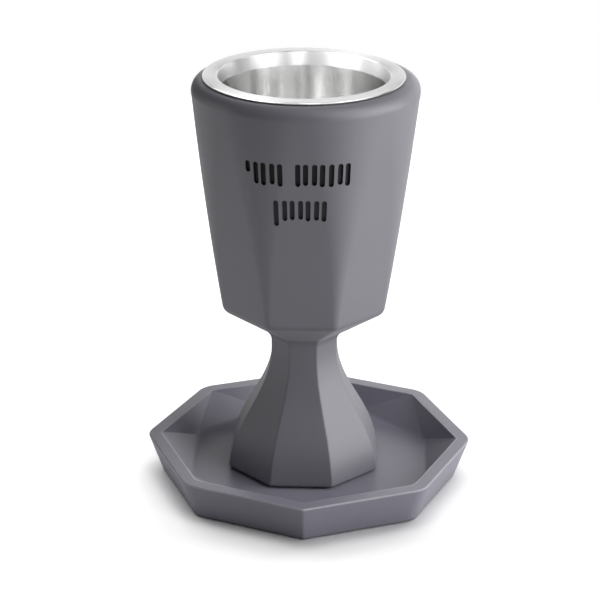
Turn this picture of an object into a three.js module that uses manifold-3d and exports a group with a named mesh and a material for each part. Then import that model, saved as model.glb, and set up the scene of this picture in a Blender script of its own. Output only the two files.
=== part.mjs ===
// Kiddush cup: a cast eight-sided goblet with a loose steel liner, standing in an eight-sided saucer.
// Millimetres, +Z up, the front faces -Y. The origin is the middle of the saucer's underside.
// An apothem is the distance from the axis to the middle of a flat side.

import * as THREE from 'three';
import { mergeVertices } from 'three/addons/utils/BufferGeometryUtils.js';
import Module from 'manifold-3d';

const sides = 8;
const halfSide = Math.PI / sides;
const restGap = 0.3;

const saucer = {
  height: 13.3,
  baseApothem: 46.4,
  rimApothem: 50.9,
  rimWidth: 4.6,
  floorHeight: 5.2,
  floorApothem: 39.4,
  cornerRadius: 8.0,
  crispCornerRadius: 0.8,
  innerCornerRadius: 1.0,
  baseEdgeRadius: 1.6,
  rimEdgeRadius: 0.4,
};

const goblet = {
  offsetX: -1.6,
  footApothem: 24.8,
  footEdge: 0.4,
  footStepHeight: 0.7,
  footStepInset: 1.2,
  footLean: THREE.MathUtils.degToRad(6.5),
  footHandle: 18.0,
  neckApothem: 10.8,
  neckHeight: 42.2,
  neckHandle: 16.2,
  neckFilletRadius: 4.5,
  undersideHeight: 46.7,
  bowlBaseApothem: 26.3,
  bowlBaseHeight: 57.3,
  bowlBaseEdgeRadius: 4.0,
  wallCrown: 0.4,
  rimApothem: 37.0,
  height: 133.5,
  shoulderRadius: 3.6,
  stemCornerRadius: 1.0,
  bowlBaseCornerRadius: 3.0,
  cornerGrowth: 1.5,
  roundness: 0.985,
};

const cavity = {
  mouthRadius: 30.6,
  mouthEdgeRadius: 0.8,
  floorRadius: 22.9,
  floorHeight: 67.5,
  floorFilletRadius: 4.0,
};

const liner = {
  offsetX: -0.6,
  wall: 0.8,
  lipRadius: 32.4,
  lipEdgeRadius: 0.4,
  lipCrown: 0.12,
  mouthRadius: 27.6,
  mouthEdgeRadius: 0.6,
  collarRadius: 26.8,
  collarDepth: 4.4,
  floorRadius: 21.4,
  floorHeight: 70.3,
  floorFilletRadius: 6.0,
  segments: 52,
};

const strokes = {
  depth: 0.8,
  width: 1.6,
  reach: 1.0,
  endSteps: 4,
  pitch: THREE.MathUtils.degToRad(4.0),
  groupGap: THREE.MathUtils.degToRad(0.6),
  wordGap: THREE.MathUtils.degToRad(4.5),
};

// Each row is words of groups. A number is one stroke's length as a share of the row's height.
const strokeRows = [
  {
    middle: THREE.MathUtils.degToRad(-2.3),
    top: 115.7,
    height: 7.5,
    words: [[[0.5], [0.96, 1], [0.92, 1]], [[1, 0.95], [0.94, 1], [1], [0.92, 1]]],
  },
  {
    middle: THREE.MathUtils.degToRad(-0.9),
    top: 103.4,
    height: 7.0,
    words: [[[1.25], [1, 0.95], [0.92, 1], [0.95, 1]]],
  },
];

const castGrey = new THREE.MeshStandardMaterial({ color: 0x716f77, roughness: 0.62, metalness: 0 });
const brushedSteel = new THREE.MeshStandardMaterial({ color: 0xc9c8c6, roughness: 0.3, metalness: 1 });

// A ring is an eight-sided outline with rounded corners at one height, run anticlockwise.
// Corner 0 lies at the angle firstCorner. Each corner's arc is followed by the flat after it.
function octagonRing({ apothem, height, cornerAt, firstCorner, arcSteps, flatSteps }) {
  const arcs = [];
  for (let side = 0; side < sides; side++) {
    const corner = cornerAt(side);
    const cornerCentre = (apothem - corner) / Math.cos(halfSide);
    const along = firstCorner + side * 2 * halfSide;
    for (let step = 0; step <= arcSteps; step++) {
      const turn = along + halfSide * ((2 * step) / arcSteps - 1);
      arcs.push(new THREE.Vector3(
        cornerCentre * Math.cos(along) + corner * Math.cos(turn),
        cornerCentre * Math.sin(along) + corner * Math.sin(turn),
        height,
      ));
    }
  }
  const ring = [];
  arcs.forEach((arcPoint, index) => {
    ring.push(arcPoint);
    if (index % (arcSteps + 1) !== arcSteps) return;
    const next = arcs[(index + 1) % arcs.length];
    for (let step = 1; step < flatSteps; step++) ring.push(arcPoint.clone().lerp(next, step / flatSteps));
  });
  return ring;
}

// Skins a stack of rings, from a flat underside to the last ring, which a flat face closes.
function loft(rings) {
  const count = rings[0].length;
  const positions = rings.flat().flatMap((corner) => corner.toArray());
  const index = [];
  for (let level = 0; level + 1 < rings.length; level++) {
    for (let i = 0; i < count; i++) {
      const low = level * count + i;
      const lowNext = level * count + ((i + 1) % count);
      index.push(low, lowNext, lowNext + count, low, lowNext + count, low + count);
    }
  }
  [rings[0], rings.at(-1)].forEach((ring, end) => {
    const centre = positions.length / 3;
    const start = end === 0 ? 0 : (rings.length - 1) * count;
    const middle = ring.reduce((sum, corner) => sum.add(corner), new THREE.Vector3()).divideScalar(count);
    positions.push(...middle.toArray());
    for (let i = 0; i < count; i++) {
      const here = start + i;
      const next = start + ((i + 1) % count);
      if (end === 0) index.push(centre, next, here);
      else index.push(centre, here, next);
    }
  });
  const geometry = new THREE.BufferGeometry();
  geometry.setAttribute('position', new THREE.Float32BufferAttribute(positions, 3));
  geometry.setIndex(index);
  return geometry;
}

// The arc that rounds the corner of a profile, from the side of before to the side of after.
function roundedCorner(before, corner, after, radius, steps) {
  const toBefore = before.clone().sub(corner).normalize();
  const toAfter = after.clone().sub(corner).normalize();
  const halfAngle = Math.acos(toBefore.dot(toAfter)) / 2;
  const centre = toBefore.clone().add(toAfter).normalize()
    .multiplyScalar(radius / Math.sin(halfAngle)).add(corner);
  const start = toBefore.multiplyScalar(radius / Math.tan(halfAngle)).add(corner).sub(centre);
  const sweep = (Math.PI - 2 * halfAngle) * Math.sign(start.cross(corner.clone().sub(centre)));
  const arc = [];
  for (let step = 0; step <= steps; step++) {
    arc.push(start.clone().rotateAround(new THREE.Vector2(), (sweep * step) / steps).add(centre));
  }
  return arc;
}

const point = (across, up) => new THREE.Vector2(across, up);

// ---- saucer ----

function saucerGeometry() {
  const { height, baseApothem, rimApothem, rimWidth, floorHeight, floorApothem } = saucer;
  const base = point(baseApothem, 0);
  const outerRim = point(rimApothem, height);
  const innerRim = point(rimApothem - rimWidth, height);
  const floorEdge = point(floorApothem, floorHeight);
  const front = -Math.PI / 2;
  const steps = 4;
  const ring = (cornerAt, firstCorner) => ({ x, y }) => octagonRing({
    apothem: x, height: y, cornerAt, firstCorner, arcSteps: steps, flatSteps: steps,
  });
  // The front and the back corner are crisp, the six others well rounded.
  const outerCorner = (side) => (side % 4 === 0 ? saucer.crispCornerRadius : saucer.cornerRadius);
  const innerCorner = () => saucer.innerCornerRadius;
  const outside = [
    ...roundedCorner(point(0, 0), base, outerRim, saucer.baseEdgeRadius, 3),
    ...roundedCorner(base, outerRim, innerRim, saucer.rimEdgeRadius, 2),
  ];
  const inside = roundedCorner(outerRim, innerRim, floorEdge, saucer.rimEdgeRadius, 2);
  // The floor's corners lie half a side round from the rim's, so the walls are triangles in turn.
  const floor = ring(innerCorner, front - halfSide)(floorEdge);
  return loft([
    ...outside.map(ring(outerCorner, front)),
    ...inside.map(ring(innerCorner, front)),
    [...floor.slice(steps), ...floor.slice(0, steps)],
  ]);
}

// ---- goblet ----

function gobletOutside() {
  const g = goblet;
  const foot = point(g.footApothem, g.footStepHeight);
  const lean = point(-Math.sin(g.footLean), Math.cos(g.footLean));
  const neck = point(g.neckApothem, g.neckHeight);
  const flare = new THREE.CubicBezierCurve(
    foot.clone().addScaledVector(lean, g.footEdge),
    foot.clone().addScaledVector(lean, g.footHandle),
    point(g.neckApothem, g.neckHeight - g.neckHandle),
    neck,
  );
  const underNeck = point(g.neckApothem, g.undersideHeight);
  const bowlBase = point(g.bowlBaseApothem, g.bowlBaseHeight);
  const rim = point(g.rimApothem, g.height);
  const wall = new THREE.QuadraticBezierCurve(bowlBase, wallMiddle(bowlBase, rim), rim);
  const baseEdge = roundedCorner(underNeck, bowlBase, wall.getPoint(0.1), g.bowlBaseEdgeRadius, 4);
  const shoulder = roundedCorner(wall.getPoint(0.95), rim, point(0, g.height), g.shoulderRadius, 4);
  const between = wall.getPoints(9).filter(({ y }) => y > baseEdge.at(-1).y && y < shoulder[0].y);
  return [
    point(g.footApothem - g.footStepInset, 0),
    point(g.footApothem - g.footStepInset, g.footStepHeight),
    point(g.footApothem - g.footEdge, g.footStepHeight),
    ...flare.getPoints(14),
    ...roundedCorner(neck, underNeck, bowlBase, g.neckFilletRadius, 4),
    ...baseEdge,
    ...between,
    ...shoulder,
  ];
}

// The handle that bows the bowl's wall outwards by its crown.
function wallMiddle(bowlBase, rim) {
  const along = rim.clone().sub(bowlBase).normalize();
  const outward = point(along.y, -along.x);
  return bowlBase.clone().lerp(rim, 0.5).addScaledVector(outward, 2 * goblet.wallCrown);
}

// Crisp corners on the stem, opening from the bowl's base into a full round at its lip.
function cornerRadiusAt(apothem, height) {
  const g = goblet;
  const upNeck = THREE.MathUtils.smoothstep(height, g.neckHeight, g.bowlBaseHeight);
  const atBase = THREE.MathUtils.lerp(g.stemCornerRadius, g.bowlBaseCornerRadius, upNeck);
  const up = Math.max(0, (height - g.bowlBaseHeight) / (g.height - g.bowlBaseHeight));
  const round = g.rimApothem * g.roundness;
  return Math.min(THREE.MathUtils.lerp(atBase, round, up ** g.cornerGrowth), apothem * g.roundness);
}

function cavityInside() {
  const mouth = point(cavity.mouthRadius, goblet.height);
  const floorEdge = point(cavity.floorRadius, cavity.floorHeight);
  return [
    ...roundedCorner(point(goblet.rimApothem, goblet.height), mouth, floorEdge, cavity.mouthEdgeRadius, 2),
    ...roundedCorner(mouth, floorEdge, point(0, cavity.floorHeight), cavity.floorFilletRadius, 3),
  ];
}

function gobletBlank() {
  const shared = { firstCorner: -Math.PI / 2 - halfSide, arcSteps: 5, flatSteps: 1 };
  const outside = gobletOutside().map(({ x, y }) => octagonRing({
    apothem: x, height: y, cornerAt: () => cornerRadiusAt(x, y), ...shared,
  }));
  const inside = cavityInside().map(({ x, y }) => octagonRing({
    apothem: x, height: y, cornerAt: () => x * goblet.roundness, ...shared,
  }));
  return loft([...outside, ...inside]);
}

// ---- engraved strokes ----

// A point on the bowl's wall, round from the front by an angle, moved out along the radius.
function wallPoint(around, height, outward) {
  const g = goblet;
  const up = (height - g.bowlBaseHeight) / (g.height - g.bowlBaseHeight);
  const crown = 4 * g.wallCrown * up * (1 - up);
  const apothem = THREE.MathUtils.lerp(g.bowlBaseApothem, g.rimApothem, up) + crown;
  const corner = cornerRadiusAt(apothem, height);
  const fromFlat = Math.abs(around - 2 * halfSide * Math.round(around / (2 * halfSide)));
  const cornerCentre = (apothem - corner) / Math.cos(halfSide);
  const onFlat = apothem * Math.tan(fromFlat) <= (apothem - corner) * Math.tan(halfSide);
  const fromCorner = halfSide - fromFlat;
  const onArc = cornerCentre * Math.cos(fromCorner)
    + Math.sqrt(corner ** 2 - (cornerCentre * Math.sin(fromCorner)) ** 2);
  const radius = (onFlat ? apothem / Math.cos(fromFlat) : onArc) + outward;
  return new THREE.Vector3(radius * Math.sin(around), -radius * Math.cos(around), height);
}

// A round-ended upright slot as a closed cutter that runs from inside the wall to outside it.
function strokeCutter(around, top, length) {
  const half = strokes.width / 2;
  const outline = [];
  [[top - half, 0], [top - length + half, Math.PI]].forEach(([centreHeight, from]) => {
    for (let step = 0; step <= strokes.endSteps; step++) {
      const turn = from + (Math.PI * step) / strokes.endSteps;
      outline.push(point(half * Math.cos(turn), centreHeight + half * Math.sin(turn)));
    }
  });
  const middle = wallPoint(around, top - length / 2, 0);
  const bowlRadius = Math.hypot(middle.x, middle.y);
  const ring = (outward) => outline.map(({ x, y }) => wallPoint(around + x / bowlRadius, y, outward));
  return loft([ring(strokes.reach), ring(-strokes.depth)].map((points) => points.reverse()));
}

// Walks along a row: strokes in a group, groups in a word, words in the row.
function rowCutters({ middle, top, height, words }) {
  const placed = [];
  let along = 0;
  words.forEach((word) => {
    word.forEach((group) => {
      group.forEach((share) => {
        placed.push({ along, length: share * height });
        along += strokes.pitch;
      });
      along += strokes.groupGap;
    });
    along += strokes.wordGap;
  });
  const start = middle - placed.at(-1).along / 2;
  return placed.map((stroke) => strokeCutter(start + stroke.along, top, stroke.length));
}

// ---- liner ----

// From the middle of the underside, up the outside and round the flat lip, down to the middle inside.
function linerGeometry() {
  const l = liner;
  const lipUnder = goblet.height + restGap;
  const lipTop = lipUnder + l.wall;
  const mouth = point(l.mouthRadius, lipTop);
  const collar = point(l.collarRadius, lipTop - l.collarDepth);
  const floorEdge = point(l.floorRadius, l.floorHeight);
  const floorMiddle = point(0, l.floorHeight);
  const lipEdge = point(l.lipRadius - l.lipEdgeRadius, lipUnder + l.lipEdgeRadius);
  const underMiddle = point(0, l.floorHeight - l.wall);
  const underEdge = point(l.floorRadius + l.wall / 2, underMiddle.y);
  const underMouth = point(l.mouthRadius + l.wall, lipUnder);
  const outerCollar = point(l.collarRadius + l.wall, collar.y);
  const outside = [
    underMiddle,
    ...roundedCorner(underMiddle, underEdge, outerCollar, l.floorFilletRadius + l.wall, 4),
    outerCollar,
    ...roundedCorner(outerCollar, underMouth, point(lipEdge.x, lipUnder), l.mouthEdgeRadius, 2),
  ];
  const edge = [-90, -30, 30, 90].map((degrees) => point(l.lipEdgeRadius, 0)
    .rotateAround(point(0, 0), THREE.MathUtils.degToRad(degrees)).add(lipEdge));
  const crown = point((l.mouthRadius + lipEdge.x) / 2, lipTop + 2 * l.lipCrown);
  const lip = new THREE.QuadraticBezierCurve(edge.at(-1), crown, mouth).getPoints(4);
  const inside = [
    ...lip.slice(1, -1),
    ...roundedCorner(lip.at(-2), mouth, collar, l.mouthEdgeRadius, 3),
    collar,
    ...roundedCorner(collar, floorEdge, floorMiddle, l.floorFilletRadius, 4),
    floorMiddle,
  ];
  return new THREE.LatheGeometry([...outside, ...edge, ...inside], l.segments)
    .rotateX(Math.PI / 2).translate(l.offsetX, 0, 0);
}

// ---- cutting ----

const wasm = await Module();
wasm.setup();

// Leaves position alone and joins shared vertices, so that a mesh is one closed skin.
function closed(geometry) {
  geometry.deleteAttribute('normal');
  geometry.deleteAttribute('uv');
  return mergeVertices(geometry, 1e-4);
}

function toSolid(geometry) {
  return new wasm.Manifold(new wasm.Mesh({
    numProp: 3,
    vertProperties: geometry.attributes.position.array,
    triVerts: new Uint32Array(geometry.index.array),
  }));
}

function toGeometry(solid) {
  const mesh = solid.getMesh();
  const geometry = new THREE.BufferGeometry();
  geometry.setAttribute('position', new THREE.BufferAttribute(mesh.vertProperties, 3));
  geometry.setIndex(new THREE.BufferAttribute(mesh.triVerts, 1));
  return geometry;
}

function gobletGeometry() {
  let cast = toSolid(gobletBlank());
  strokeRows.flatMap(rowCutters).forEach((cutter) => {
    cast = cast.subtract(toSolid(cutter));
  });
  return toGeometry(cast);
}

// ---- assembly ----

function piece(name, geometry, material) {
  const mesh = new THREE.Mesh(geometry, material);
  mesh.name = name;
  return mesh;
}

const cup = new THREE.Group();
cup.position.set(goblet.offsetX, 0, saucer.floorHeight + restGap);
cup.add(
  piece('goblet', gobletGeometry(), castGrey),
  piece('liner', closed(linerGeometry()), brushedSteel),
);

const kiddushCup = new THREE.Group();
kiddushCup.add(piece('saucer', closed(saucerGeometry()), castGrey.clone()), cup);

export default kiddushCup;
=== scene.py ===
import math

import bmesh
import bpy
from mathutils import Matrix, Vector


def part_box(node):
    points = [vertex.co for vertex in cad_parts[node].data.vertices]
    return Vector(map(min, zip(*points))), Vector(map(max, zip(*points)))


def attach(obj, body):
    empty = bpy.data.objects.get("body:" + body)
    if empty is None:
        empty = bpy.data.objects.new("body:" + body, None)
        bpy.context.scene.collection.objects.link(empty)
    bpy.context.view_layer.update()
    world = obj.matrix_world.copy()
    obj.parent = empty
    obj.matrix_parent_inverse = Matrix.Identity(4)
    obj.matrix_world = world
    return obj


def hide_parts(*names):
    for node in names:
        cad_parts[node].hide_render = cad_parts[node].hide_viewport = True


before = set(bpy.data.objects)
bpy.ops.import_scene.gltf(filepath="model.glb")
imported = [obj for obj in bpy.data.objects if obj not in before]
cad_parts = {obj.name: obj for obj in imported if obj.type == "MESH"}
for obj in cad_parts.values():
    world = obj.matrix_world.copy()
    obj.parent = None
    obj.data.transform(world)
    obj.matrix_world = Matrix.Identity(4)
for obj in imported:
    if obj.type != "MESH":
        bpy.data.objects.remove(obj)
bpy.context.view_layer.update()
print("frame loaded:", ", ".join(sorted(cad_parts)))

mm = 0.001
mergeDistance = 0.001 * mm
sides = 8
halfSide = math.pi / sides
body = "root"


# A node's output. Used in an expression, it adds the Math nodes that the expression needs.
class Wire:
    def __init__(self, graph, socket):
        self.graph = graph
        self.socket = socket

    def out(self, name):
        return Wire(self.graph, pick(self.socket.node.outputs, name))

    def __add__(self, other):
        return self.graph.math("ADD", self, other)

    def __radd__(self, other):
        return self.graph.math("ADD", other, self)

    def __sub__(self, other):
        return self.graph.math("SUBTRACT", self, other)

    def __rsub__(self, other):
        return self.graph.math("SUBTRACT", other, self)

    def __mul__(self, other):
        return self.graph.math("MULTIPLY", self, other)

    def __rmul__(self, other):
        return self.graph.math("MULTIPLY", other, self)

    def __truediv__(self, other):
        return self.graph.math("DIVIDE", self, other)

    def __lt__(self, other):
        return self.graph.math("LESS_THAN", self, other)

    def __gt__(self, other):
        return self.graph.math("GREATER_THAN", self, other)


def pick(sockets, key):
    if isinstance(key, int):
        return sockets[key]
    return next(s for s in sockets if s.enabled and s.name == key)


class Graph:
    def __init__(self, tree):
        self.tree = tree

    def node(self, kind, settings=None, values=None):
        node = self.tree.nodes.new(kind)
        for name, value in (settings or {}).items():
            setattr(node, name, value)
        for key, value in (values or {}).items():
            socket = pick(node.inputs, key)
            if isinstance(value, Wire):
                self.tree.links.new(value.socket, socket)
            else:
                socket.default_value = value
        outputs = [s for s in node.outputs if s.enabled]
        return Wire(self, outputs[0]) if outputs else node

    def math(self, operation, *terms):
        return self.node("ShaderNodeMath", {"operation": operation}, dict(enumerate(terms)))


def link(name, mesh):
    obj = bpy.data.objects.new(name, mesh)
    bpy.context.scene.collection.objects.link(obj)
    return obj


# Applies whatever modifiers a piece carries, leaving a plain mesh.
def settle(obj):
    depsgraph = bpy.context.evaluated_depsgraph_get()
    mesh = bpy.data.meshes.new_from_object(obj.evaluated_get(depsgraph), depsgraph=depsgraph)
    obj.modifiers.clear()
    obj.data = mesh
    return obj


def smooth(obj, degrees=28):
    obj.data.shade_smooth()
    obj.data.set_sharp_from_angle(angle=math.radians(degrees))


def geometryTree(name, sockets):
    tree = bpy.data.node_groups.new(name, "GeometryNodeTree")
    for label, kind in sockets.items():
        tree.interface.new_socket(label, in_out="INPUT", socket_type="NodeSocket" + kind)
    tree.interface.new_socket("Mesh", in_out="OUTPUT", socket_type="NodeSocketGeometry")
    graph = Graph(tree)
    entry = graph.node("NodeGroupInput")
    return graph, {label: entry.out(label) for label in sockets}


def endTree(graph, geometry, material):
    real = graph.node("GeometryNodeRealizeInstances", None, {"Geometry": geometry})
    finished = graph.node("GeometryNodeSetMaterial", None, {"Geometry": real, "Material": material})
    graph.node("NodeGroupOutput", None, {"Mesh": finished})


def grow(name, graph, values):
    obj = link(name, bpy.data.meshes.new(name))
    modifier = obj.modifiers.new(name, "NODES")
    modifier.node_group = graph.tree
    for item in graph.tree.interface.items_tree:
        if item.in_out == "INPUT":
            modifier[item.identifier] = values[item.name]
    return settle(obj)


def roundedCorner(before, corner, after, radius, steps):
    toBefore = (before - corner).normalized()
    toAfter = (after - corner).normalized()
    halfAngle = math.acos(toBefore.dot(toAfter)) / 2
    centre = corner + (toBefore + toAfter).normalized() * radius / math.sin(halfAngle)
    start = corner + toBefore * radius / math.tan(halfAngle) - centre
    end = corner + toAfter * radius / math.tan(halfAngle) - centre
    sweep = math.pi - 2 * halfAngle
    return [
        centre + (start * math.sin(sweep * (1 - t)) + end * math.sin(sweep * t)) / math.sin(sweep)
        for t in (step / steps for step in range(steps + 1))
    ]


def bezier(handles, steps):
    points = []
    for step in range(steps + 1):
        level = list(handles)
        while len(level) > 1:
            level = [a.lerp(b, step / steps) for a, b in zip(level, level[1:])]
        points.append(level[0])
    return points


def point(across, up):
    return Vector((across, up))


castFinish = {
    "dark": (0.158, 0.154, 0.180),
    "light": (0.182, 0.178, 0.206),
    # How much lighter the saucer's grey is painted: painted light, not a different material.
    "saucerPaintedLight": (1.24, 1.23, 1.32),
    # Colour of the painted highlight on the saucer's rounded rim edges, and how much of it is mixed in.
    "paintedHighlight": (0.42, 0.41, 0.45, 1),
    "paintedHighlightShare": 1.0,
    "mottleSize": 24 * mm,
    "grainSize": 0.45 * mm,
    "ripple": 0.05 * mm,
    "rippleSize": 5 * mm,
    "grainHeight": 0.012 * mm,
    "roughness": (0.45, 0.55),
    "specular": 0.75,
    "sheen": 0.22,
    "sheenRoughness": 0.4,
}


def mixColour(graph, factor, first, second):
    return graph.node(
        "ShaderNodeMix", {"data_type": "RGBA"}, {"Factor": factor, "A": first, "B": second}
    )


def noise(graph, coordinates, size, detail=2.0):
    return graph.node(
        "ShaderNodeTexNoise", None, {"Vector": coordinates, "Scale": 1 / size, "Detail": detail}
    )


def newMaterial(name):
    material = bpy.data.materials.new(name)
    material.use_nodes = True
    material.node_tree.nodes.clear()
    graph = Graph(material.node_tree)
    coordinates = graph.node("ShaderNodeTexCoord").out("Object")
    return material, graph, coordinates


def finishMaterial(graph, values):
    shader = graph.node("ShaderNodeBsdfPrincipled", None, values)
    graph.node("ShaderNodeOutputMaterial", None, {"Surface": shader})


def spread(graph, value, low, high):
    return graph.node("ShaderNodeMapRange", None, {"Value": value, "To Min": low, "To Max": high})


# The saucer's copy of the grey is painted lighter: painted light, standing in for light from above that
# the lamps don't give its floor and walls.
def castGrey(name, paintedLightening=(1, 1, 1)):
    f = castFinish
    dark, light = ([c * t for c, t in zip(f[shade], paintedLightening)] + [1] for shade in ("dark", "light"))
    material, graph, coordinates = newMaterial(name)
    mottle = noise(graph, coordinates, f["mottleSize"], 3)
    grain = noise(graph, coordinates, f["grainSize"], 3)
    ripple = noise(graph, coordinates, f["rippleSize"], 1)
    tone = mottle * 0.7 + grain * 0.3
    height = ripple * (f["ripple"] / mm) + grain * (f["grainHeight"] / mm)
    bump = graph.node(
        "ShaderNodeBump", None, {"Strength": 1.0, "Distance": mm, "Height": height}
    )
    # Painted highlight: where the mesh marks them, the saucer's rounded rim edges are painted lighter,
    # standing in for the light that those edges catch.
    paintedHighlightMask = graph.node("ShaderNodeAttribute", {"attribute_name": "paintedHighlightMask"}).out("Fac")
    grey = mixColour(graph, tone, dark, light)
    finishMaterial(graph, {
        "Base Color": mixColour(graph, paintedHighlightMask * mottle * f["paintedHighlightShare"], grey, f["paintedHighlight"]),
        "Roughness": spread(graph, tone, *f["roughness"]),
        "Specular IOR Level": f["specular"],
        "Sheen Weight": f["sheen"],
        "Sheen Roughness": f["sheenRoughness"],
        "Normal": bump,
    })
    return material


paintFinish = {
    "upper": (0.012, 0.011, 0.014, 1),
    "lower": (0.042, 0.041, 0.049, 1),
    "grainSize": 0.5 * mm,
    "roughness": (0.55, 0.75),
}


def engravingPaint(changeHeight):
    f = paintFinish
    material, graph, coordinates = newMaterial("engravingPaint")
    height = graph.node("ShaderNodeSeparateXYZ", None, {"Vector": coordinates}).out("Z")
    grain = noise(graph, coordinates, f["grainSize"])
    bump = graph.node("ShaderNodeBump", None, {"Strength": 0.3, "Distance": 0.1 * mm, "Height": grain})
    finishMaterial(graph, {
        "Base Color": mixColour(graph, height < changeHeight, f["upper"], f["lower"]),
        "Roughness": spread(graph, grain, *f["roughness"]),
        "Normal": bump,
    })
    return material


steelFinish = {
    "dull": (0.56, 0.56, 0.56, 1),
    "clean": (0.74, 0.74, 0.735, 1),
    "lineSize": 0.22 * mm,
    "lineDrift": 0.6,
    "patchSize": 12 * mm,
    "lineHeight": 0.004 * mm,
    "roughness": (0.15, 0.23),
    "collarRoughness": 0.18,
    "collarDepth": 5.2 * mm,
    "anisotropic": 0.8,
    "acrossMarks": 0.25,
}


# The brush marks run round the liner's axis, so they vary with radius and height and hardly with angle.
def brushedSteel(axisX, topHeight):
    f = steelFinish
    material, graph, coordinates = newMaterial("brushedSteel")
    centred = graph.node("ShaderNodeMapping", None, {"Vector": coordinates, "Location": (-axisX, 0, 0)})
    split = graph.node("ShaderNodeSeparateXYZ", None, {"Vector": centred})
    x, y, z = (split.out(axis) for axis in "XYZ")
    radius = graph.math("SQRT", x * x + y * y)
    angle = graph.math("ARCTAN2", y, x)
    around = graph.node("ShaderNodeCombineXYZ", None, {
        "X": angle * (f["lineDrift"] * mm), "Y": radius, "Z": z,
    })
    lines = noise(graph, around, f["lineSize"], 4)
    patches = noise(graph, coordinates, f["patchSize"], 2)
    tone = lines * 0.6 + patches * 0.4
    collarFoot = topHeight - f["collarDepth"]
    onCollar = graph.node("ShaderNodeMapRange", None, {
        "Value": z, "From Min": collarFoot, "From Max": collarFoot + f["collarDepth"] / 5,
    })
    bump = graph.node("ShaderNodeBump", None, {
        "Strength": 1.0, "Distance": mm, "Height": lines * (f["lineHeight"] / mm),
    })
    finishMaterial(graph, {
        "Base Color": mixColour(graph, tone, f["dull"], f["clean"]),
        "Metallic": 1.0,
        "Roughness": spread(graph, tone, *f["roughness"]) + onCollar * f["collarRoughness"],
        "Anisotropic": f["anisotropic"],
        "Anisotropic Rotation": f["acrossMarks"],
        "Normal": bump,
    })
    return material


gobletLow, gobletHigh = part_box("goblet")
saucerLow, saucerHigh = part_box("saucer")
linerLow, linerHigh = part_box("liner")

goblet = {
    "axisX": (gobletLow.x + gobletHigh.x) / 2 / mm,
    "restHeight": gobletLow.z / mm,
    "footApothem": 24.8,
    "footEdgeRadius": 0.4,
    "footStepHeight": 0.7,
    "footStepInset": 1.2,
    "footLean": math.radians(6.5),
    "footHandle": 18.0,
    "neckApothem": 10.8,
    "neckHeight": 42.2,
    "neckHandle": 16.2,
    "neckFilletRadius": 4.5,
    "undersideHeight": 46.7,
    "bowlBaseApothem": 26.3,
    "bowlBaseHeight": 57.3,
    "bowlBaseEdgeRadius": 4.0,
    "wallCrown": 0.4,
    "rimApothem": 37.0,
    "height": (gobletHigh.z - gobletLow.z) / mm,
    "shoulderRadius": 3.6,
    "stemCornerRadius": 1.0,
    "bowlBaseCornerRadius": 3.0,
    "cornerGrowth": 1.5,
    "roundness": 0.985,
    "mouthRadius": 30.6,
    "mouthEdgeRadius": 0.8,
    "cavityFloorRadius": 22.9,
    "cavityFloorHeight": 67.5,
    "cavityFilletRadius": 4.0,
    "arcSteps": 20,
    "flatSteps": 8,
}


# The foot's recessed underside, the flare of the stem, the neck, the bowl and its shoulder.
def gobletOutside():
    g = goblet
    foot = point(g["footApothem"], g["footStepHeight"])
    stepIn = point(g["footApothem"] - g["footStepInset"], g["footStepHeight"])
    lean = point(-math.sin(g["footLean"]), math.cos(g["footLean"]))
    neck = point(g["neckApothem"], g["neckHeight"])
    underNeck = point(g["neckApothem"], g["undersideHeight"])
    bowlBase = point(g["bowlBaseApothem"], g["bowlBaseHeight"])
    rim = point(g["rimApothem"], g["height"])
    flare = bezier([
        foot + lean * g["footEdgeRadius"],
        foot + lean * g["footHandle"],
        point(g["neckApothem"], g["neckHeight"] - g["neckHandle"]),
        neck,
    ], 44)
    along = (rim - bowlBase).normalized()
    wall = bezier([
        bowlBase, bowlBase.lerp(rim, 0.5) + point(along.y, -along.x) * 2 * g["wallCrown"], rim,
    ], 50)
    baseEdge = roundedCorner(underNeck, bowlBase, wall[5], g["bowlBaseEdgeRadius"], 10)
    shoulder = roundedCorner(wall[47], rim, point(0, g["height"]), g["shoulderRadius"], 14)
    between = [p for p in wall if baseEdge[-1].y + 0.5 < p.y < shoulder[0].y - 0.5]
    footEdge = roundedCorner(stepIn, foot, foot + lean, g["footEdgeRadius"], 4)
    return [
        point(0, 0),
        *(point(share * stepIn.x, 0) for share in (0.4, 0.8, 1)),
        stepIn,
        *footEdge,
        *flare[1:],
        *roundedCorner(neck, underNeck, bowlBase, g["neckFilletRadius"], 12)[1:],
        *baseEdge,
        *between,
        *shoulder,
    ]


def cavityInside():
    g = goblet
    mouth = point(g["mouthRadius"], g["height"])
    floorEdge = point(g["cavityFloorRadius"], g["cavityFloorHeight"])
    rim = point(g["rimApothem"], g["height"])
    floorMiddle = point(0, g["cavityFloorHeight"])
    return [
        *roundedCorner(rim, mouth, floorEdge, g["mouthEdgeRadius"], 6),
        *roundedCorner(mouth, floorEdge, floorMiddle, g["cavityFilletRadius"], 8),
        floorMiddle,
    ]


# Crisp corners on the stem, opening from the bowl's base into a full round at its lip.
def cornerRadiusAt(apothem, height):
    g = goblet
    share = min(max((height - g["neckHeight"]) / (g["bowlBaseHeight"] - g["neckHeight"]), 0), 1)
    upNeck = share * share * (3 - 2 * share)
    atBase = g["stemCornerRadius"] + upNeck * (g["bowlBaseCornerRadius"] - g["stemCornerRadius"])
    up = max(0, (height - g["bowlBaseHeight"]) / (g["height"] - g["bowlBaseHeight"]))
    full = g["rimApothem"] * g["roundness"]
    return min(atBase + (full - atBase) * up ** g["cornerGrowth"], apothem * g["roundness"])


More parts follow.
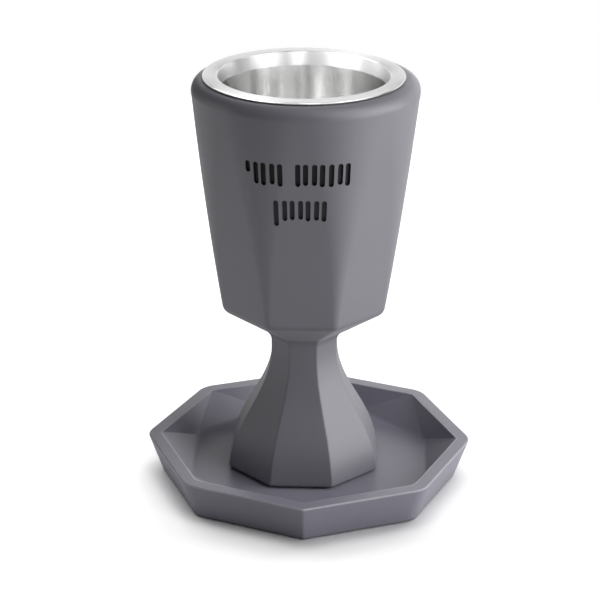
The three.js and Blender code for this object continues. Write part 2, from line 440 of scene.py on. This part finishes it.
# A profile is a string of points in X and Z, each with the corner radius that it has there.
def profileObject(name, outside, inside):
    points = outside + inside
    corners = [cornerRadiusAt(p.x, p.y) for p in outside]
    corners += [p.x * goblet["roundness"] for p in inside]
    mesh = bpy.data.meshes.new(name)
    mesh.from_pydata(
        [(p.x * mm, 0, p.y * mm) for p in points],
        [(i, i + 1) for i in range(len(points) - 1)],
        [],
    )
    attribute = mesh.attributes.new("corner", "FLOAT", "POINT")
    attribute.data.foreach_set("value", [corner * mm for corner in corners])
    return link(name, mesh)


# Carries a profile round the axis on an eight-sided path with rounded corners.
def eightSidedTree():
    graph, inputs = geometryTree("eightSidedBody", {
        "Profile": "Object",
        "Material": "Material",
        "Arc Steps": "Int",
        "Flat Steps": "Int",
        "First Corner": "Float",
        "Centre": "Vector",
    })
    arcSteps, flatSteps = inputs["Arc Steps"], inputs["Flat Steps"]
    profile = graph.node("GeometryNodeObjectInfo", None, {"Object": inputs["Profile"]}).out("Geometry")
    rows = graph.node("GeometryNodeAttributeDomainSize", {"component": "MESH"}, {"Geometry": profile})
    perSide = arcSteps + flatSteps
    columns = perSide * sides + 1
    grid = graph.node("GeometryNodeMeshGrid", None, {"Vertices X": rows, "Vertices Y": columns})
    index = graph.node("GeometryNodeInputIndex") + 0.5
    row = graph.math("FLOOR", index / columns)
    column = index - row * columns
    side = graph.math("FLOOR", column / perSide)
    step = column - side * perSide - 0.5
    position = graph.node("GeometryNodeInputPosition")
    corner = graph.node(
        "GeometryNodeInputNamedAttribute", {"data_type": "FLOAT"}, {"Name": "corner"}
    )
    place = graph.node(
        "GeometryNodeSampleIndex",
        {"data_type": "FLOAT_VECTOR"},
        {"Geometry": profile, "Value": position, "Index": row},
    )
    radius = graph.node(
        "GeometryNodeSampleIndex",
        {"data_type": "FLOAT"},
        {"Geometry": profile, "Value": corner, "Index": row},
    )
    outline = graph.node("ShaderNodeSeparateXYZ", None, {"Vector": place})
    apothem, height = outline.out("X"), outline.out("Z")
    onArc = graph.math("MINIMUM", step, arcSteps) / arcSteps
    onFlat = graph.math("MAXIMUM", step - arcSteps, 0) / flatSteps
    cornerAngle = inputs["First Corner"] + side * (2 * halfSide)
    turn = cornerAngle + (onArc * 2 - 1) * halfSide
    cornerCentre = (apothem - radius) / math.cos(halfSide)

    def across(function):
        here = graph.math(function, cornerAngle)
        there = graph.math(function, cornerAngle + 2 * halfSide)
        arc = radius * graph.math(function, turn)
        return cornerCentre * (here * (1 - onFlat) + there * onFlat) + arc

    spot = graph.node("ShaderNodeCombineXYZ", None, {
        "X": across("COSINE"), "Y": across("SINE"), "Z": height,
    })
    moved = graph.node(
        "ShaderNodeVectorMath", {"operation": "ADD"}, {0: spot, 1: inputs["Centre"]}
    )
    shaped = graph.node("GeometryNodeSetPosition", None, {"Geometry": grid, "Position": moved})
    joined = graph.node(
        "GeometryNodeMergeByDistance", None, {"Geometry": shaped, "Distance": mergeDistance}
    )
    endTree(graph, joined, inputs["Material"])
    return graph


def castGoblet(material):
    g = goblet
    profile = profileObject("gobletProfile", gobletOutside(), cavityInside())
    piece = grow("castGoblet", eightSidedTree(), {
        "Profile": profile,
        "Material": material,
        "Arc Steps": g["arcSteps"],
        "Flat Steps": g["flatSteps"],
        "First Corner": -math.pi / 2 - halfSide,
        "Centre": (g["axisX"] * mm, 0, g["restHeight"] * mm),
    })
    bpy.data.objects.remove(profile)
    return piece


strokes = {
    "depth": 0.8,
    "width": 1.6,
    "reach": 0.6,
    "softEdge": 0.14,
    "bowlRadius": 35.0,
    "castFrom": 100.0,
    "roundSteps": 20,
    "pitch": 4.0,
    "groupGap": 0.6,
    "wordGap": 4.5,
}

# Each row is words of groups, in degrees round from the front. A number is a stroke's share of
# the row's height.
strokeRows = [
    {
        "middle": -2.3,
        "top": 115.7,
        "height": 7.5,
        "words": [[[0.5], [0.96, 1], [0.92, 1]], [[1, 0.95], [0.94, 1], [1], [0.92, 1]]],
    },
    {
        "middle": -0.9,
        "top": 103.4,
        "height": 7.0,
        "words": [[[1.25], [1, 0.95], [0.92, 1], [0.95, 1]]],
    },
]


def strokePlan():
    s = strokes
    plan = []
    for row in strokeRows:
        placed = []
        along = 0
        for word in row["words"]:
            for group in word:
                for share in group:
                    placed.append((along, share * row["height"]))
                    along += s["pitch"]
                along += s["groupGap"]
            along += s["wordGap"]
        start = row["middle"] - placed[-1][0] / 2
        plan += [(math.radians(start + turn), row["top"], length) for turn, length in placed]
    mesh = bpy.data.meshes.new("strokePlan")
    mesh.from_pydata([(0, 0, 0)] * len(plan), [], [])
    for slot, name in enumerate(("around", "top", "length")):
        attribute = mesh.attributes.new(name, "FLOAT", "POINT")
        scale = 1 if name == "around" else mm
        attribute.data.foreach_set("value", [stroke[slot] * scale for stroke in plan])
    return link("strokePlan", mesh)


# Round-ended slots, one for each point of the plan, laid on the wall that they cut.
def strokeTree():
    graph, inputs = geometryTree("engravedStrokes", {
        "Plan": "Object",
        "Wall": "Object",
        "Paint": "Material",
        "Width": "Float",
        "Depth": "Float",
        "Reach": "Float",
        "Soft Edge": "Float",
        "Round Steps": "Int",
        "Centre": "Vector",
    })
    levels = 3
    plan = graph.node("GeometryNodeObjectInfo", None, {"Object": inputs["Plan"]}).out("Geometry")
    wall = graph.node("GeometryNodeObjectInfo", None, {"Object": inputs["Wall"]}).out("Geometry")
    slot = graph.node("GeometryNodeMeshCylinder", {"fill_type": "NGON"}, {
        "Vertices": inputs["Round Steps"],
        "Side Segments": levels,
        "Radius": 1.0,
        "Depth": float(levels),
    })
    eachSlot = graph.node("GeometryNodeTransform", None, {
        "Geometry": slot, "Rotation": (0, 0, math.pi / strokes["roundSteps"]),
    })
    many = graph.node("GeometryNodeInstanceOnPoints", None, {"Points": plan, "Instance": eachSlot})
    real = graph.node("GeometryNodeRealizeInstances", None, {"Geometry": many})
    around, top, length = (
        graph.node("GeometryNodeInputNamedAttribute", {"data_type": "FLOAT"}, {"Name": name})
        for name in ("around", "top", "length")
    )
    position = graph.node("GeometryNodeInputPosition")
    split = graph.node("ShaderNodeSeparateXYZ", None, {"Vector": position})
    x, y, level = split.out("X"), split.out("Y"), split.out("Z") + levels / 2
    soft = inputs["Soft Edge"]
    isTop = level > 2.5
    overMouth = level > 1.5
    aboveFloor = level > 0.5
    outward = (
        overMouth * soft * 1.6
        + isTop * (inputs["Reach"] - soft * 0.6)
        + aboveFloor * (inputs["Depth"] - soft)
        - inputs["Depth"]
    )
    halfWidth = inputs["Width"] / 2 + overMouth * soft * 0.9 + isTop * soft * 0.4 - soft * 0.3
    stretch = graph.math("SIGN", y) * (length - inputs["Width"]) / 2
    height = top - length / 2 + y * halfWidth + stretch
    castFrom = strokes["castFrom"] * mm
    angle = around + x * halfWidth / (strokes["bowlRadius"] * mm)
    outX, outY = graph.math("SINE", angle), 0 - graph.math("COSINE", angle)
    direction = graph.node("ShaderNodeCombineXYZ", None, {"X": outX, "Y": outY, "Z": 0.0})
    onAxis = graph.node("ShaderNodeCombineXYZ", None, {"X": 0.0, "Y": 0.0, "Z": height})
    axis = graph.node("ShaderNodeVectorMath", {"operation": "ADD"}, {0: onAxis, 1: inputs["Centre"]})
    outside = graph.node(
        "ShaderNodeVectorMath", {"operation": "MULTIPLY_ADD"},
        {0: direction, 1: (castFrom, castFrom, castFrom), 2: axis},
    )
    inward = graph.node("ShaderNodeVectorMath", {"operation": "SCALE"}, {0: direction, "Scale": -1.0})
    hit = graph.node("GeometryNodeRaycast", None, {
        "Target Geometry": wall, "Source Position": outside, "Ray Direction": inward, "Ray Length": 1.0,
    }).out("Hit Position")
    push = graph.node("ShaderNodeVectorMath", {"operation": "SCALE"}, {0: direction, "Scale": outward})
    spot = graph.node("ShaderNodeVectorMath", {"operation": "ADD"}, {0: hit, 1: push})
    shaped = graph.node("GeometryNodeSetPosition", None, {"Geometry": real, "Position": spot})
    endTree(graph, shaped, inputs["Paint"])
    return graph


def engrave(piece, paint):
    s = strokes
    plan = strokePlan()
    cutters = grow("strokeCutters", strokeTree(), {
        "Plan": plan,
        "Wall": piece,
        "Paint": paint,
        "Width": s["width"] * mm,
        "Depth": s["depth"] * mm,
        "Reach": s["reach"] * mm,
        "Soft Edge": s["softEdge"] * mm,
        "Round Steps": s["roundSteps"],
        "Centre": (goblet["axisX"] * mm, 0, goblet["restHeight"] * mm),
    })
    cut = piece.modifiers.new("engraving", "BOOLEAN")
    cut.operation = "DIFFERENCE"
    cut.solver = "EXACT"
    cut.material_mode = "TRANSFER"
    cut.object = cutters
    settle(piece)
    for helper in (plan, cutters):
        bpy.data.objects.remove(helper)


saucer = {
    "height": saucerHigh.z / mm,
    "baseApothem": 46.4,
    "rimApothem": 50.87,
    "rimWidth": 4.6,
    "floorHeight": 5.2,
    "floorApothem": 39.4,
    "cornerRadius": 8.0,
    "crispCornerRadius": 1.6,
    "innerCornerRadius": 1.0,
    "baseEdgeRadius": 1.6,
    "rimEdgeRadius": 0.4,
    "floorEdgeRadius": 2.4,
    "guard": 0.15,
    "cornerSteps": 8,
    "edgeSteps": 8,
}


# An eight-sided outline at one height, run anticlockwise: each corner's arc, then the flat after it.
def octagonRing(apothem, height, radiusAt, firstCorner):
    steps = saucer["cornerSteps"]
    arcs = []
    for side in range(sides):
        along = firstCorner + side * 2 * halfSide
        radius = radiusAt(side)
        fromAxis = (apothem - radius) / math.cos(halfSide)
        arcs.append([
            Vector((
                fromAxis * math.cos(along) + radius * math.cos(turn),
                fromAxis * math.sin(along) + radius * math.sin(turn),
                height,
            ))
            for turn in (along + halfSide * (2 * step / steps - 1) for step in range(steps + 1))
        ])
    return [
        place
        for arc, following in zip(arcs, arcs[1:] + arcs[:1])
        for place in arc + [arc[-1].lerp(following[0], step / steps) for step in range(1, steps)]
    ]


# A rounded corner with a point just before and after it, so that its shading stays off the walls.
def guardedCorner(before, corner, after, radius):
    arc = roundedCorner(before, corner, after, radius, saucer["edgeSteps"])
    first = arc[0] + (before - corner).normalized() * saucer["guard"]
    last = arc[-1] + (after - corner).normalized() * saucer["guard"]
    return [first, *arc, last]


# The front and the back corner of the outside are crisp, the six others well rounded. The floor's
# corners lie half a side round from the rim's, so the inner walls are triangles in turn.
def castSaucer(material):
    s = saucer
    front = -math.pi / 2
    crispSides = (0, sides // 2)

    def outerAt(side):
        return s["crispCornerRadius"] if side in crispSides else s["cornerRadius"]

    def innerAt(side):
        return s["innerCornerRadius"]

    floor = octagonRing(s["floorApothem"], s["floorHeight"], innerAt, front - halfSide)
    outlines = zip(
        octagonRing(s["baseApothem"], 0, outerAt, front),
        octagonRing(s["rimApothem"], s["height"], outerAt, front),
        octagonRing(s["rimApothem"] - s["rimWidth"], s["height"], innerAt, front),
        floor[s["cornerSteps"]:] + floor[:s["cornerSteps"]],
    )
    under, over = Vector((0, 0, 0)), Vector((0, 0, s["floorHeight"]))
    mesh = bmesh.new()
    paintedHighlight = mesh.verts.layers.float.new("paintedHighlightMask")
    columns = []
    for base, rimOut, rimIn, floorEdge in outlines:
        rimOuter = guardedCorner(base, rimOut, rimIn, s["rimEdgeRadius"])
        rimInner = guardedCorner(rimOut, rimIn, floorEdge, s["rimEdgeRadius"])
        foot = guardedCorner(under, base, rimOut, s["baseEdgeRadius"])
        inside = guardedCorner(rimIn, floorEdge, over, s["floorEdgeRadius"])
        column = [mesh.verts.new(place * mm) for place in foot + rimOuter + rimInner + inside]
        # The rounded rim edges are marked for a painted highlight: a lighter colour stands in for the
        # light that they catch.
        for start in (len(foot), len(foot) + len(rimOuter)):
            for vert in column[start + 1:start + len(rimOuter) - 1]:  # the rounded edge itself
                vert[paintedHighlight] = 1.0
        columns.append(column)
    for here, there in zip(columns, columns[1:] + columns[:1]):
        for level in range(len(here) - 1):
            mesh.faces.new((here[level], there[level], there[level + 1], here[level + 1]))
    mesh.faces.new([column[0] for column in reversed(columns)])
    mesh.faces.new([column[-1] for column in columns])
    bmesh.ops.recalc_face_normals(mesh, faces=mesh.faces)
    data = bpy.data.meshes.new("castSaucer")
    mesh.to_mesh(data)
    mesh.free()
    data.materials.append(material)
    return link("castSaucer", data)


liner = {
    "axisX": (linerLow.x + linerHigh.x) / 2 / mm,
    "wall": 0.8,
    "lipRadius": 32.4,
    "lipEdgeRadius": 0.4,
    "lipCrown": 0.12,
    "mouthRadius": 27.6,
    "mouthEdgeRadius": 0.6,
    "collarRadius": 26.8,
    "collarDepth": 4.4,
    "collarFilletRadius": 1.5,
    "floorRadius": 21.4,
    "floorHeight": 70.3,
    "floorFilletRadius": 6.0,
    "lift": 0.3,
    "segments": 160,
}


def linerProfile():
    l = liner
    lipUnder = goblet["height"] + l["lift"]
    lipTop = lipUnder + l["wall"]
    mouth = point(l["mouthRadius"], lipTop)
    collar = point(l["collarRadius"], lipTop - l["collarDepth"])
    floorEdge = point(l["floorRadius"], l["floorHeight"])
    floorMiddle = point(0, l["floorHeight"])
    outward = point(l["wall"], 0)
    lipEdge = point(l["lipRadius"] - l["lipEdgeRadius"], lipUnder + l["lipEdgeRadius"])
    underMiddle = point(0, l["floorHeight"] - l["wall"])
    underEdge = point(l["floorRadius"] + l["wall"] / 2, underMiddle.y)
    underMouth = mouth + point(l["wall"], -l["wall"])
    outside = [
        underMiddle,
        *roundedCorner(underMiddle, underEdge, collar + outward, l["floorFilletRadius"] + l["wall"], 8),
        collar + outward,
        *roundedCorner(
            collar + outward, underMouth, point(lipEdge.x, lipUnder), l["mouthEdgeRadius"] + 0.2, 4
        ),
    ]
    edge = [
        lipEdge + point(math.sin(turn), -math.cos(turn)) * l["lipEdgeRadius"]
        for turn in (math.pi * step / 8 for step in range(9))
    ]
    crown = point((l["mouthRadius"] + lipEdge.x) / 2, lipTop + 2 * l["lipCrown"])
    lip = bezier([edge[-1], crown, mouth], 12)
    inside = [
        *lip[1:-1],
        *roundedCorner(lip[-2], mouth, collar, l["mouthEdgeRadius"], 8),
        *roundedCorner(mouth, collar, floorEdge, l["collarFilletRadius"], 4),
        *roundedCorner(collar, floorEdge, floorMiddle, l["floorFilletRadius"], 10),
        floorMiddle,
    ]
    return outside + edge + inside


# The profile starts and ends on the axis, so its two ends are the poles that close the turned shape.
def steelLiner(material):
    l = liner
    low, *wall, high = linerProfile()
    angles = [2 * math.pi * step / l["segments"] for step in range(l["segments"])]
    mesh = bmesh.new()

    def vertAt(spot, angle=0):
        across = l["axisX"] + spot.x * math.cos(angle)
        deep = spot.x * math.sin(angle)
        return mesh.verts.new(Vector((across, deep, spot.y + goblet["restHeight"])) * mm)

    rings = [[vertAt(spot, angle) for angle in angles] for spot in wall]
    lowPole, highPole = vertAt(low), vertAt(high)
    for here in range(l["segments"]):
        there = (here + 1) % l["segments"]
        mesh.faces.new((lowPole, rings[0][there], rings[0][here]))
        for inner, outer in zip(rings, rings[1:]):
            mesh.faces.new((inner[here], inner[there], outer[there], outer[here]))
        mesh.faces.new((highPole, rings[-1][here], rings[-1][there]))
    bmesh.ops.recalc_face_normals(mesh, faces=mesh.faces)
    data = bpy.data.meshes.new("steelLiner")
    mesh.to_mesh(data)
    mesh.free()
    data.materials.append(material)
    return link("steelLiner", data)


cameraView = {
    "place": (20.16, -654.4, 325.0),
    "heading": 2.04,
    "pitch": 21.83,
    "roll": 0.28,
    "lens": 127.8,
}


def addCamera():
    v = cameraView
    heading, pitch, roll = (math.radians(v[name]) for name in ("heading", "pitch", "roll"))
    forward = Vector((
        -math.sin(heading) * math.cos(pitch), math.cos(heading) * math.cos(pitch), -math.sin(pitch),
    ))
    level = Vector((math.cos(heading), math.sin(heading), 0))
    upright = level.cross(forward)
    right = level * math.cos(roll) + upright * math.sin(roll)
    up = right.cross(forward)
    camera = bpy.data.objects.new("camera", bpy.data.cameras.new("camera"))
    camera.data.lens = v["lens"]
    camera.data.clip_start = 0.05
    camera.matrix_world = Matrix.Translation(Vector(v["place"]) * mm) @ Matrix(
        (right, up, -forward)
    ).transposed().to_4x4()
    bpy.context.scene.collection.objects.link(camera)
    bpy.context.scene.camera = camera


# A softbox stands at a compass bearing and an elevation round the cup, in degrees, and faces it.
# Flags keep each one's light on the surfaces that it is meant for.
studio = {
    "aim": (0, 0, 70 * mm),
    "distance": 0.9,
    "ambient": 0.035,
    "cast": {
        "keyRight": {"bearing": 90, "rise": 6, "size": (0.5, 0.5), "strength": 4.8},
        "keyBehind": {"bearing": 120, "rise": 6, "size": (0.5, 0.5), "strength": 3.2},
        "keyUpper": {"bearing": 90, "rise": 35, "size": (0.5, 0.5), "strength": 2.5},
        "keyUpperBehind": {"bearing": 120, "rise": 35, "size": (0.5, 0.5), "strength": 2.9},
        "keyHigh": {"bearing": 120, "rise": 62, "size": (0.5, 0.5), "strength": 2.0},
        "backPanel": {"bearing": 0, "rise": 6, "size": (0.5, 0.5), "strength": 2.9},
        "backRight": {"bearing": 30, "rise": 12, "size": (0.5, 0.6), "strength": 1.4},
        "topBack": {"bearing": 0, "rise": 80, "size": (0.5, 0.5), "strength": 0.7},
        "rimLeft": {"bearing": 274, "rise": 7, "size": (0.5, 0.5), "strength": 1.3},
    },
    "steel": {
        "lipRight": {"bearing": 54, "rise": 10, "size": (0.56, 0.4), "strength": 2.2},
        "lipBackRight": {"bearing": 18, "rise": 10, "size": (0.56, 0.4), "strength": 1.4},
        "lipBackLeft": {"bearing": 342, "rise": 10, "size": (0.56, 0.4), "strength": 1.35},
        "lipLeft": {"bearing": 306, "rise": 10, "size": (0.56, 0.4), "strength": 1.4},
        "lipUpper": {"bearing": 0, "rise": 45, "size": (0.9, 0.4), "strength": 2.0},
        "steelTop": {"bearing": 0, "rise": 80, "size": (0.6, 0.5), "strength": 0.9},
        "steelRight": {"bearing": 95, "rise": 35, "size": (0.46, 0.5), "strength": 2.5},
        "steelFrontRight": {"bearing": 126, "rise": 35, "size": (0.42, 0.5), "strength": 4.1},
        "steelFront": {"bearing": 170, "rise": 35, "size": (0.24, 0.5), "strength": 6.0},
        "steelFrontLeft": {"bearing": 198, "rise": 35, "size": (0.46, 0.5), "strength": 1.7},
        "steelLeft": {"bearing": 242, "rise": 39, "size": (0.6, 0.5), "strength": 13.0},
        "collarRight": {"bearing": 138, "rise": 4, "size": (1.3, 0.34), "strength": 3.6},
        "collarLeft": {"bearing": 212, "rise": 4, "size": (1.0, 0.34), "strength": 1.1},
        "steelBackLeft": {"bearing": 285, "rise": 35, "size": (0.4, 0.5), "strength": 4.5},
    },
    "floor": {
        "floorTop": {"bearing": 0, "rise": 85, "size": (0.7, 0.7), "strength": 4.1},
        "floorLeft": {"bearing": -45, "rise": 40, "size": (0.7, 0.5), "strength": 4.1},
        "floorRight": {"bearing": 45, "rise": 40, "size": (0.7, 0.5), "strength": 4.1},
        "floorBack": {"bearing": 0, "rise": 45, "size": (0.5, 0.5), "strength": 2.2},
        "floorFront": {"bearing": 140, "rise": 50, "size": (0.5, 0.5), "strength": 3.0},
    },
}


def addSoftbox(name, bearing, rise, size, strength):
    aim = Vector(studio["aim"])
    bearing, rise = math.radians(bearing), math.radians(rise)
    direction = Vector((
        math.sin(bearing) * math.cos(rise), math.cos(bearing) * math.cos(rise), math.sin(rise),
    ))
    data = bpy.data.lights.new(name, "AREA")
    data.shape = "RECTANGLE"
    data.size, data.size_y = size
    data.energy = strength * math.pi * size[0] * size[1]
    light = bpy.data.objects.new(name, data)
    light.location = aim + direction * studio["distance"]
    light.rotation_euler = direction.to_track_quat("Z", "Y").to_euler()
    light.visible_camera = False
    bpy.context.scene.collection.objects.link(light)
    return light


def addSoftboxes(group, targets):
    lit = bpy.data.collections.new(group + "Lit")
    for target in targets:
        lit.objects.link(target)
    for name, box in studio[group].items():
        addSoftbox(name, **box).light_linking.receiver_collection = lit


# The backdrop is white to the camera, and gives the cup hardly any light.
def addWorld():
    world = bpy.data.worlds.new("studioWorld")
    world.use_nodes = True
    world.node_tree.nodes.clear()
    graph = Graph(world.node_tree)
    seen = graph.node("ShaderNodeLightPath").out("Is Camera Ray")
    strength = spread(graph, seen, studio["ambient"], 1.0)
    shader = graph.node("ShaderNodeBackground", None, {"Strength": strength, "Color": (1, 1, 1, 1)})
    graph.node("ShaderNodeOutputWorld", None, {"Surface": shader})
    bpy.context.scene.world = world


floorFinish = {
    "seen": (0.92, 0.92, 0.92, 1),
    "bounced": (0.5, 0.5, 0.5, 1),
    "roughness": 0.9,
    "reach": 0.45,
    "drop": -0.05 * mm,
}


# The floor is white to the camera, and throws less of its light back up at the cup.
def addFloor():
    f = floorFinish
    material, graph, coordinates = newMaterial("studioWhite")
    seen = graph.node("ShaderNodeLightPath").out("Is Camera Ray")
    finishMaterial(graph, {
        "Base Color": mixColour(graph, seen, f["bounced"], f["seen"]),
        "Roughness": f["roughness"],
        "Specular IOR Level": 0.0,
    })
    mesh = bpy.data.meshes.new("studioFloor")
    corners = [
        (x * f["reach"], y * f["reach"], f["drop"]) for x, y in ((-1, -1), (1, -1), (1, 1), (-1, 1))
    ]
    mesh.from_pydata(corners, [], [(0, 1, 2, 3)])
    mesh.materials.append(material)
    floor = link("studioFloor", mesh)
    return floor


addCamera()
gobletGrey = castGrey("gobletGrey")
saucerGrey = castGrey("saucerGrey", castFinish["saucerPaintedLight"])
steel = brushedSteel(liner["axisX"] * mm, linerHigh.z)
paint = engravingPaint((goblet["restHeight"] + strokeRows[1]["top"] + 2) * mm)

gobletPiece = castGoblet(gobletGrey)
print("goblet swept:", len(gobletPiece.data.polygons), "faces")
engrave(gobletPiece, paint)
smooth(gobletPiece)
print("strokes engraved:", len(gobletPiece.data.polygons), "faces")

saucerPiece = castSaucer(saucerGrey)
smooth(saucerPiece, 14)
print("saucer made:", len(saucerPiece.data.polygons), "faces")

linerPiece = steelLiner(steel)
smooth(linerPiece)
print("liner spun:", len(linerPiece.data.polygons), "faces")

for piece, node, slotName in (
    (gobletPiece, "goblet", "cast_grey"),
    (saucerPiece, "saucer", "cast_grey"),
    (linerPiece, "liner", "brushed_steel"),
):
    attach(piece, body)
    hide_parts(node)

addWorld()
floor = addFloor()
addSoftboxes("cast", (gobletPiece, saucerPiece))
addSoftboxes("steel", (linerPiece,))
addSoftboxes("floor", (floor,))
bpy.context.scene.view_settings.view_transform = "Standard"
print("studio set")
